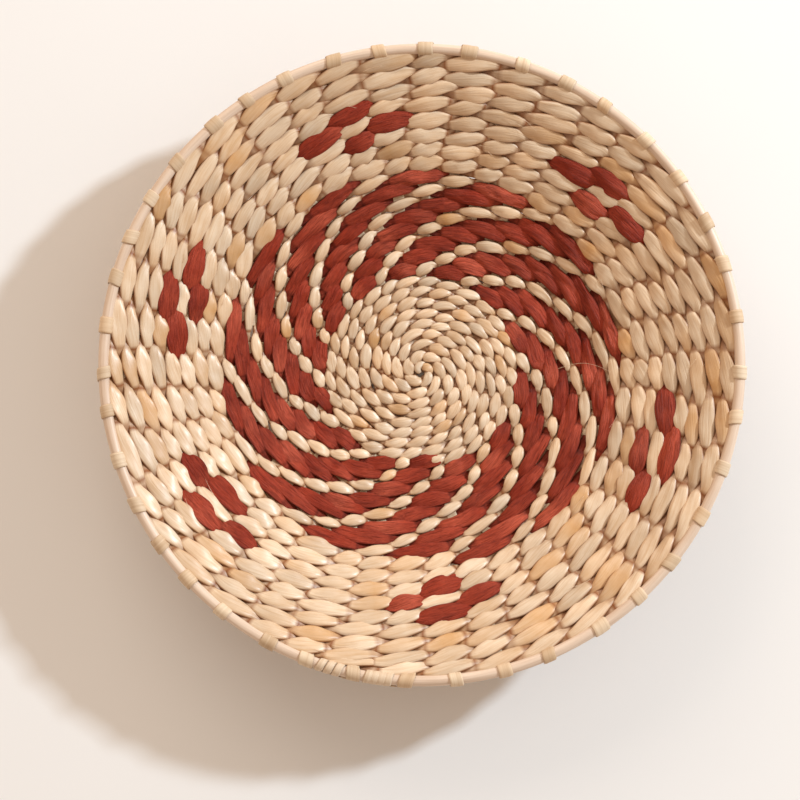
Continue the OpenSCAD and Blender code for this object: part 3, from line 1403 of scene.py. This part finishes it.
@dataclass(frozen=True)
class FibreFinish:
    """A fibre's colours and gloss, drawn with grain along the strand from its own attributes.

    Scales are in waves for a metre. The deep colour is a tan stitch's, the shade is the colour
    of the streaks, and the painted gap shade is painted shade: the dark colour laid between the
    strands, where the weave is in shadow.
    """

    name: str
    pale: Colour
    deep: Colour
    shade: Colour
    painted_gap_shade: Colour
    roughness: float
    streak_scale: float = 1500.0
    streak_length: float = 55.0
    streak_strength: float = 0.35
    broad_across: float = 4
    broad_along: float = 2.2
    broad_share: float = 0.8
    fine_detail: float = 4.0
    broad_detail: float = 2.0
    fine_span: Span = (0.42, 0.80)
    broad_span: Span = (0.48, 0.85)
    blotch_scale: float = 110.0
    blotch_size: float = 0.5
    smoother: float = 0.1
    rougher: float = 0.12
    bump: float = 0.00012
    gloss: float = 0.5
    coat: float = 0.0
    coat_roughness: float = 0.30
    painted_gap_strength: float = 0.8

    def build(self) -> bpy.types.Material:
        """Makes the material: tone colours, fine and broad streaks, painted shade in the gaps and a grain
        bump.

        The tan share is moved by half the blotch size up and down, as a wide noise does. The
        colour then goes towards the shade in the streaks, towards the painted gap shade where the
        tone marks painted shade (in the gaps, along the edges and on hidden sides), and is
        multiplied by the brightness.

        Returns:
            The material.
        """
        made = NodeMaterial(self.name)
        tone = made.add("Attribute", "Color", {}, attribute_name="Tone")
        tan, bright, unshaded_share = (made.add("SeparateColor", name, {"Color": tone}) for name in TONE_NAMES)
        fine = made.streaks(self.streak_scale, self.streak_length, self.fine_detail)
        broad_scales = (self.streak_scale / self.broad_across, self.streak_length / self.broad_along)
        broad = made.streaks(*broad_scales, self.broad_detail)
        blotch = made.streaks(self.blotch_scale, self.blotch_scale, self.broad_detail)

        size = self.blotch_size
        moved = made.add("Math", 0, {0: blotch, 1: size, 2: tan}, operation="MULTIPLY_ADD")
        tan_share = made.add("Math", 0, {0: moved, 1: size / 2}, operation="SUBTRACT", use_clamp=True)
        colour = made.mix(tan_share, self.pale, self.deep)
        streaks, whole = self.streak_strength, (0.0, 1.0)
        colour = made.mix(made.ramp(fine, self.fine_span, (0.0, streaks)), colour, self.shade)
        broad_streaks = made.ramp(broad, self.broad_span, (0.0, streaks * self.broad_share))
        colour = made.mix(broad_streaks, colour, self.shade)
        # Painted shade: the colour is darkened towards the painted gap shade where the tone marks gaps,
        # edges and hidden sides.
        colour = made.mix(made.ramp(unshaded_share, whole, (self.painted_gap_strength, 0.0)), colour, self.painted_gap_shade)
        roughness = (self.roughness - self.smoother, self.roughness + self.rougher)
        grain = made.add("Math", 0, {0: fine, 1: broad}, operation="ADD")
        bump = {"Height": grain, "Distance": self.bump, "Strength": 1.0}
        look = {
            "Base Color": made.add("VectorMath", 0, {0: colour, "Scale": bright}, operation="SCALE"),
            "Roughness": made.ramp(broad, whole, roughness),
            "Specular IOR Level": self.gloss,
            "Coat Roughness": self.coat_roughness,
            "Normal": made.add("Bump", "Normal", bump),
        }
        if self.coat:
            look["Coat Weight"] = made.ramp(unshaded_share, whole, (0.0, self.coat))
        made.feed(made.shader, look)
        return made.material


# The fourth colour of each finish is its painted gap shade: painted shade laid between the strands.
PLAIN_LEAF = FibreFinish(
    "plain_leaf_finish", (0.79, 0.62, 0.445), (0.61, 0.33, 0.13), (0.52, 0.27, 0.085), (0.25, 0.07, 0.008),
    roughness=0.42, coat=0.35, streak_strength=0.55, bump=0.0003, painted_gap_strength=1.0,
)
RED_RAFFIA = FibreFinish(
    "red_raffia_finish", (0.34, 0.034, 0.012), (0.66, 0.125, 0.065), (0.10, 0.006, 0.002),
    (0.10, 0.009, 0.003), roughness=0.55, painted_gap_strength=0.75, streak_scale=1900.0, streak_length=120.0,
    streak_strength=0.8, bump=0.0014, gloss=0.22,
)
STAKE_LEAF = FibreFinish(
    "stake_leaf_finish", (0.80, 0.64, 0.46), (0.60, 0.40, 0.23), (0.42, 0.24, 0.11), (0.2, 0.1, 0.04),
    roughness=0.55, streak_scale=1300.0, streak_length=25.0, streak_strength=0.5, gloss=0.35,
)
CANE = FibreFinish(
    "cane_finish", (0.80, 0.63, 0.49), (0.66, 0.47, 0.33), (0.45, 0.28, 0.17), (0.2, 0.1, 0.05),
    roughness=0.45, streak_scale=900.0, streak_length=30.0, streak_strength=0.5,
)
SPLIT_STRIP = FibreFinish(
    "split_strip_finish", (0.82, 0.67, 0.50), (0.64, 0.45, 0.29), (0.42, 0.25, 0.12), (0.2, 0.1, 0.04),
    roughness=0.5, streak_scale=1600.0, streak_length=30.0, streak_strength=0.4, gloss=0.4,
)


# ---------------------------------------------------------------- the studio


@dataclass(frozen=True)
class SoftBox:
    """A square area light that faces the mat.

    Its direction from the mat is the azimuth, in degrees counter-clockwise from +X, and the
    elevation above the level. The size is the length of its side, and the power is in watts.
    """

    name: str
    azimuth: float
    elevation: float
    away: float
    size: float
    power: float
    colour: Colour

    def build(self, middle: Array) -> None:
        """Makes the light and aims it.

        Args:
            middle: the point that it faces.
        """
        data = bpy.data.lights.new(self.name, "AREA")
        data.size = self.size
        data.energy = self.power
        data.color = self.colour
        lamp = bpy.data.objects.new(self.name, data)
        turn, rise = math.radians(self.azimuth), math.radians(self.elevation)
        way = level_direction(np.array(turn)) * math.cos(rise) + UP * math.sin(rise)
        lamp.location = middle + self.away * way
        lamp.rotation_euler = (0.0, math.pi / 2 - rise, turn)
        bpy.context.scene.collection.objects.link(lamp)


@dataclass(frozen=True)
class Studio:
    """The pale floor, the soft lights and the camera."""

    middle: tuple[float, float, float]
    distance: float = 1.6
    tilt: float = math.radians(5.5)
    lens: float = 129.4
    sensor: float = 36.0
    far: float = 20.0
    aim: Span = (-0.0122, -0.0215)
    floor_size: float = 6.0
    floor_scale: float = 6.0
    floor_roughness: float = 0.9
    floor_colours: tuple[Colour, Colour] = ((0.86, 0.85, 0.835), (0.835, 0.82, 0.80))
    world_colour: Colour = (1.0, 0.81, 0.66)
    world_strength: float = 0.60
    lights: tuple[SoftBox, ...] = (
        SoftBox("key", 29.0, 31.0, 3.0, 0.22, 88.0, (0.76, 0.89, 1.0)),
        SoftBox("sky", 112.0, 27.0, 3.4, 2.6, 52.0, (1.0, 0.86, 0.73)),
    )

    def floor(self) -> bpy.types.Object:
        """Makes the pale floor, with a faint unevenness in its colour.

        Returns:
            The floor's object.
        """
        mesh = bpy.data.meshes.new("floor")
        h = self.floor_size / 2
        mesh.from_pydata([(-h, -h, 0), (h, -h, 0), (h, h, 0), (-h, h, 0)], [], [(0, 1, 2, 3)])
        made = NodeMaterial("pale_floor")
        where = made.add("TexCoord", "Object", {})
        noise = made.add("TexNoise", "Fac", {"Vector": where, "Scale": self.floor_scale})
        colour = made.mix(noise, *self.floor_colours)
        made.feed(made.shader, {"Base Color": colour, "Roughness": self.floor_roughness})
        mesh.materials.append(made.material)
        floor = bpy.data.objects.new("floor", mesh)
        bpy.context.scene.collection.objects.link(floor)
        return floor

    def camera(self) -> None:
        """Makes the camera, almost overhead and tilted a little to the near side."""
        data = bpy.data.cameras.new("camera")
        data.lens = self.lens
        data.sensor_width = self.sensor
        data.clip_end = self.far
        camera = bpy.data.objects.new("camera", data)
        aim = np.array(self.middle) + np.array([*self.aim, 0.0])
        back = np.array([0.0, -math.sin(self.tilt), math.cos(self.tilt)])
        camera.location = aim + self.distance * back
        camera.rotation_euler = (self.tilt, 0.0, 0.0)
        bpy.context.scene.collection.objects.link(camera)
        bpy.context.scene.camera = camera

    def build(self) -> None:
        """Makes the floor, the world's light, the lamps and the camera."""
        self.floor()
        world = bpy.data.worlds.new("studio")
        world.use_nodes = True
        background = world.node_tree.nodes["Background"]
        background.inputs["Color"].default_value = (*self.world_colour, 1.0)
        background.inputs["Strength"].default_value = self.world_strength
        bpy.context.scene.world = world
        bpy.context.scene.view_settings.view_transform = "Standard"
        for light in self.lights:
            light.build(np.array(self.middle))
        self.camera()


# ---------------------------------------------------------------- putting it together


FIELD_STYLE = StrandStyle(
    width=0.57, back_width=0.58, gap_width=0.32, gap_thickness=0.0019, lean=0.27, fullness=1.1, lift=0.0019
)
CENTRE_STYLE = StrandStyle(
    width=0.53, back_width=0.56, gap_width=0.27, gap_thickness=0.0014, lean=0.27, fullness=1.05,
    lift=0.0016, tan_share=0.12, width_spread=0.10, restless=0.30, around=16,
)
RING_PLAIN_STYLE = StrandStyle(
    width=0.43, gap_width=0.19, gap_thickness=0.0011, lean=0.29, fullness=0.75, lift=0.0020, tan_share=0.06
)
RING_RED_STYLE = StrandStyle(
    width=0.58, gap_width=0.36, thickness=0.0016, gap_thickness=0.0013, lean=0.22, lift=0.0018,
    fullness=0.5, edge=0.85, fold_depth=0.12, fold_count=4, crease_depth=0.45, around=24,
)
ACCENT_STYLE = StrandStyle(
    width=0.74, gap_width=0.30, thickness=0.0018, gap_thickness=0.0012, lean=0.26, lift=0.0025,
    drape=math.radians(5), edge=0.85, fold_depth=0.12, fold_count=4, crease_depth=0.45, around=24,
)


@dataclass(frozen=True)
class MatBuilder:
    """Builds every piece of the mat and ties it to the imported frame.

    The starts are where each round of stakes begins, and the set sizes are the stakes in each
    of the first two rounds and in the third.
    """

    plan: CoursePlan
    hoop_radius: float
    hoop_height: float
    rod: float
    hoop_s: float
    stake_starts: tuple[float, ...] = (0.013, 0.025, 0.047, 0.054)
    early_set: int = 10
    third_set: int = 8

    def attach(self, piece: bpy.types.Object, nodes: Sequence[str]) -> None:
        """Makes a piece ride on the root and stand for its nodes, and reports it.

        Args:
            piece: the object.
            nodes: the CAD nodes that it replaces.
        """
        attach(piece, ROOT)
        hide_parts(*nodes)
        LOG.info("%s: %d faces, for %s", piece.name, len(piece.data.polygons), ", ".join(nodes))

    def build_weaving(self) -> None:
        """Makes the six long strands and the six accents."""
        plain, red = PLAIN_LEAF.build(), RED_RAFFIA.build()
        weaving = Weaving(self.plan)
        for first, node in enumerate(["centre_front_strand", "centre_back_strand"]):
            surface = weaving.centre_strand(first, CENTRE_STYLE)
            self.attach(surface.to_object(f"centre_strand_{first + 1}", plain), [node])
        surface = weaving.ring_strand(False, RING_RED_STYLE)
        self.attach(surface.to_object("ring_strand_red", red), ["ring_red_strand"])
        surface = weaving.ring_strand(True, RING_PLAIN_STYLE)
        self.attach(surface.to_object("ring_strand_plain", plain), ["ring_plain_strand"])
        for first, node in enumerate(["field_front_strand", "field_back_strand"]):
            surface = weaving.field_strand(first, FIELD_STYLE)
            if first == 0:
                surface = Surface.joined([surface, LooseFibres(self.plan).surface()])
            self.attach(surface.to_object(f"field_strand_{first + 1}", plain), [node])
        for number, stake in enumerate(weaving.accent_stakes, start=1):
            piece = weaving.accent(stake, ACCENT_STYLE).to_object(f"accent_strand_{number}", red)
            self.attach(piece, [f"accent_{number}"])

    def build_stakes(self) -> None:
        """Makes the four rounds of stakes: two evenly spaced, and two shared out over the rest."""
        leaf = STAKE_LEAF.build()
        count, early, some = self.plan.stakes.count, self.early_set, self.third_set
        first = [round(i * count / early) for i in range(early)]
        second = [round((i + 0.5) * count / early) for i in range(early)]
        late = [i for i in range(count) if i not in first and i not in second]
        third = [n for j, n in enumerate(late) if (j + 1) * some // len(late) > j * some // len(late)]
        fourth = [n for n in late if n not in third]
        strips = StakeStrips(self.plan, self.hoop_s, self.rod)
        rounds = {"first": first, "second": second, "third": third, "fourth": fourth}
        for (name, numbers), start in zip(rounds.items(), self.stake_starts):
            piece = strips.round_of(numbers, start).to_object(f"{name}_stake_strips", leaf)
            self.attach(piece, [f"{name}_stakes"])

    def build_rim(self) -> None:
        """Makes the hoop and the bindings over its join."""
        join = float(self.plan.stakes.angle(JOIN_STAKE))
        hoop = HoopRod(self.hoop_radius, self.hoop_height, self.rod, join)
        self.attach(hoop.surface().to_object("hoop_rod_bent", CANE.build()), ["rim_hoop"])
        binding = JoinBinding(self.plan, self.hoop_radius, self.hoop_height, self.rod)
        piece = binding.surface().to_object("join_whippings", SPLIT_STRIP.build())
        self.attach(piece, ["hoop_join_binding"])


def half_span(node: str) -> float:
    """Returns half the width of a node's box."""
    low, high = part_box(node)
    return (high[0] - low[0]) / 2


def main() -> None:
    """Builds the mat round the frame, then the studio, and reports each piece."""
    logging.basicConfig(level=logging.INFO, format="%(message)s")
    hoop_low, hoop_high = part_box("rim_hoop")
    rod = (hoop_high[2] - hoop_low[2]) / 2
    hoop_radius = half_span("rim_hoop") - rod
    hoop_height = (hoop_high[2] + hoop_low[2]) / 2
    middle_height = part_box("centre_front_strand")[0][2] - STAKE_SIDE
    form = DishForm(middle_height)
    s = np.linspace(0, SECTION_REACH, SECTION_POINTS)
    hoop_s = float(np.interp(hoop_radius, form.radius(s), s))
    ring_start = CoursePlan.centre_courses * CENTRE_PITCH
    field_start = ring_start + CoursePlan.ring_courses * RING_PITCH
    plan = CoursePlan(form, StakeSet(), ring_start, field_start, field_end=hoop_s - EDGE_ROOM)
    builder = MatBuilder(plan, hoop_radius, hoop_height, rod, hoop_s)
    builder.build_weaving()
    builder.build_stakes()
    builder.build_rim()
    Studio((0.0, 0.0, hoop_height)).build()


if __name__ == "__main__":
    main()
